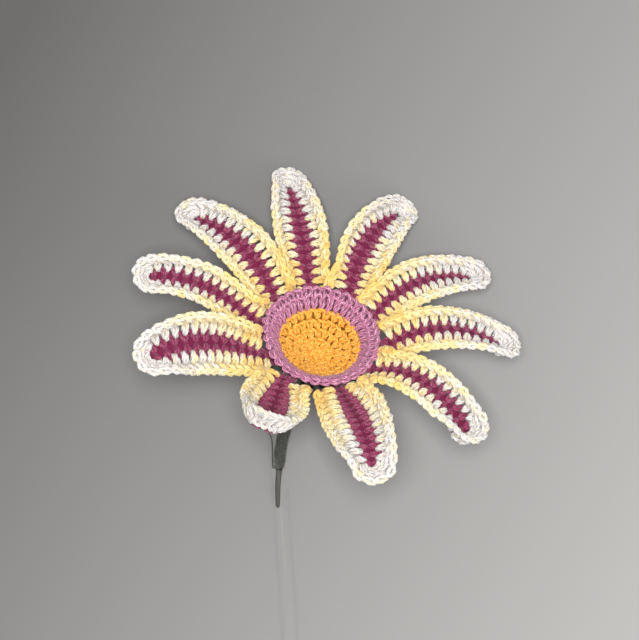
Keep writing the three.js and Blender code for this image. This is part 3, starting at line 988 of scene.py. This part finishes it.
class GAZANIA_OT_stem(bpy.types.Operator):
    """Wind the stem with yarn round its wire"""

    bl_idname = "gazania.stem"
    bl_label = "Stem"

    def execute(self, context):
        line = route(STEM_ROUTE)
        travelled = way_along(line)
        total = travelled[-1]
        across, aside, _ = frames(line)
        yarn = Sizes(WINDING_THICKNESS * MM)
        places = np.linspace(0.3, total - 0.4, int(total / WINDING_PITCH * WINDING_FINE))
        columns = [np.stack([np.interp(places, travelled, c) for c in rows.T], 1)
                   for rows in (line, across, aside)]
        angle = 2 * np.pi * places / WINDING_PITCH
        radius = (STEM_RADIUS - WINDING_THICKNESS / 2) * stem_taper(places, total)
        coil = columns[0] + (radius * np.cos(angle))[:, None] * columns[1] \
            + (radius * np.sin(angle))[:, None] * columns[2]
        winding = strand(coil, places / total, np.zeros_like(places), yarn)
        # The core under the winding, and the loose end as well, are coloured wholly in painted
        # shade.
        core = tube_of(line, (STEM_RADIUS - 0.4) * stem_taper(travelled, total), 16)
        end = tube_of(route(LOOSE_END), LOOSE_RADIUS, 6)
        build("stem_winding", [winding, core, end], green_cotton(), ["stem"],
              moved=as_placed)
        way = route([*STEM_ROUTE, *WIRE_END])
        left = np.linalg.norm(way - way[-1], axis=1)
        rounded = np.sqrt(1 - (1 - np.clip(left, 0.01, 1)) ** 2)
        thick = WIRE_RADIUS * mix(0.75, 1, left / WIRE_TAPER) * rounded
        wire = tube_of(way, np.minimum(thick, WIRE_RADIUS), 16)
        material, shader = plain("Dull wire", 0.6, (0.05, 0.047, 0.04))
        shader.inputs["Specular IOR Level"].default_value = 0.15
        build("stem_wire_round", [wire], material, ["stem_wire"], moved=as_placed)
        return {"FINISHED"}


class GAZANIA_OT_tube(bpy.types.Operator):
    """Make the clear tube with its slanted mouth"""

    bl_idname = "gazania.tube"
    bl_label = "Tube"

    def execute(self, context):
        sides = 72
        angle = 2 * np.pi * np.arange(sides) / sides
        lip = (TUBE_OUTER - TUBE_INNER) / 2
        middle = (TUBE_OUTER + TUBE_INNER) / 2
        curl = np.linspace(-np.pi / 2, np.pi / 2, 7)
        rows = [(middle + lip * math.sin(c), 1, lip * math.cos(c)) for c in curl]
        rows += [(TUBE_OUTER, t, 0) for t in np.linspace(0.95, 0.02, 24)]
        rows += [(middle + lip * math.sin(c), 0, -lip * math.cos(c)) for c in curl[::-1]]
        rows += [(TUBE_INNER, t, 0) for t in np.linspace(0.02, 0.95, 24)]
        points = []
        for radius, share, more in rows:
            x, z = radius * np.cos(angle), radius * np.sin(angle)
            mouth = TUBE_MOUTH - TUBE_SLANT * x / TUBE_OUTER
            points.append(np.stack([x, mix(TUBE_END, mouth, share) + more, z], 1))
        place = BLOOM_CENTRE + np.array([TUBE_X, 0, TUBE_OUTER - BLOOM_CENTRE[2]])
        body = sheet(np.stack(points) @ about_z(TUBE_TURN).T + place, loop=True)
        material, shader = plain("Clear tube", 0.25, (0.5, 0.51, 0.5))
        tree = material.node_tree
        facing = node(tree, "ShaderNodeLayerWeight", Blend=0.35)
        edge = math_node(tree, "POWER", facing.outputs["Facing"], 3.0)
        alpha = math_node(tree, "MULTIPLY_ADD", edge, 0.18)
        alpha.node.inputs[2].default_value = 0.02
        tree.links.new(alpha, shader.inputs["Alpha"])
        build("clear_tube", [body], material, ["tube"], moved=as_placed)
        return {"FINISHED"}


class GAZANIA_OT_stage(bpy.types.Operator):
    """Set the floor, the lights and the camera above the flower"""

    bl_idname = "gazania.stage"
    bl_label = "Stage"

    def execute(self, context):
        scene = context.scene
        floor_mesh = bpy.data.meshes.new("floor")
        ways = ((-1, -1), (1, -1), (1, 1), (-1, 1))
        corners = [(x * FLOOR_HALF, y * FLOOR_HALF, 0) for x, y in ways]
        floor_mesh.from_pydata(corners, [], [(0, 1, 2, 3)])
        floor = bpy.data.objects.new("floor", floor_mesh)
        scene.collection.objects.link(floor)
        material, shader = plain("Floor", 0.9)
        tree = material.node_tree
        # The floor is painted darker on one side, as painted shade of an uneven light.
        place = node(tree, "ShaderNodeTexCoord")
        across = node(tree, "ShaderNodeVectorMath", operation="DOT_PRODUCT")
        across.inputs[1].default_value = FLOOR_SHADE_WAY
        tree.links.new(place.outputs["Object"], across.inputs[0])
        share = node(tree, "ShaderNodeMapRange")
        share.inputs["From Min"].default_value = -FLOOR_SHADE_REACH
        share.inputs["From Max"].default_value = FLOOR_SHADE_REACH
        tree.links.new(across.outputs["Value"], share.inputs["Value"])
        pale = scene.gazania_colours.floor
        shaded = opaque(np.array(pale) * FLOOR_SHADE)
        base = mixed(tree, share.outputs[0], shaded, opaque(pale))
        tree.links.new(base, shader.inputs["Base Color"])
        floor_mesh.materials.append(material)
        world = bpy.data.worlds.new("Studio")
        scene.world = world
        world.use_nodes = True
        sky = world.node_tree.nodes["Background"]
        sky.inputs["Color"].default_value = (1, 1, 1, 1)
        sky.inputs["Strength"].default_value = WORLD_STRENGTH
        self.light("key", *KEY_LIGHT)
        self.light("fill", *FILL_LIGHT)
        camera = bpy.data.cameras.new("camera")
        camera.sensor_width = CAMERA_SENSOR
        camera.lens = CAMERA_LENS
        camera.clip_start = 0.01
        seen = bpy.data.objects.new("camera", camera)
        seen.location = (BLOOM_CENTRE + CAMERA_FROM_BLOOM) * MM
        scene.collection.objects.link(seen)
        scene.camera = seen
        scene.view_settings.view_transform = "Standard"
        return {"FINISHED"}

    def light(self, name, place, size, power):
        """A square soft light at a place, turned towards the flower."""
        lamp = bpy.data.lights.new(name, "AREA")
        lamp.size = size
        lamp.energy = power
        lamp.color = SUN_WARMTH
        found = bpy.data.objects.new(name, lamp)
        found.location = place
        aim = np.array(LIGHT_AIM) - np.array(place)
        found.rotation_mode = "QUATERNION"
        found.rotation_quaternion = Vector(aim).to_track_quat("-Z", "Y")
        bpy.context.scene.collection.objects.link(found)


OPERATORS = (GAZANIA_OT_stage, GAZANIA_OT_petals, GAZANIA_OT_disc, GAZANIA_OT_ring,
             GAZANIA_OT_backing, GAZANIA_OT_stem, GAZANIA_OT_tube)


class GAZANIA_PT_panel(bpy.types.Panel):
    """The flower's sizes, colours and pieces"""

    bl_idname = "GAZANIA_PT_panel"
    bl_label = "Crocheted Gazania"
    bl_space_type = "VIEW_3D"
    bl_region_type = "UI"
    bl_category = "Gazania"

    def draw(self, context):
        for group in (context.scene.gazania_yarn, context.scene.gazania_colours):
            box = self.layout.box()
            for key in group.__annotations__:
                box.prop(group, key)
        for operator in OPERATORS:
            self.layout.operator(operator.bl_idname)


CLASSES = (GAZANIA_PG_yarn, GAZANIA_PG_colours, *OPERATORS, GAZANIA_PT_panel)


def register():
    for made in CLASSES:
        bpy.utils.register_class(made)
    bpy.types.Scene.gazania_yarn = bpy.props.PointerProperty(type=GAZANIA_PG_yarn)
    bpy.types.Scene.gazania_colours = bpy.props.PointerProperty(type=GAZANIA_PG_colours)


def unregister():
    del bpy.types.Scene.gazania_colours
    del bpy.types.Scene.gazania_yarn
    for made in reversed(CLASSES):
        bpy.utils.unregister_class(made)


def main():
    """Registers the add-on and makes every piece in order."""
    register()
    bpy.ops.gazania.stage()
    bpy.ops.gazania.petals()
    bpy.ops.gazania.disc()
    bpy.ops.gazania.ring()
    bpy.ops.gazania.backing()
    bpy.ops.gazania.stem()
    bpy.ops.gazania.tube()


if __name__ == "__main__":
    main()
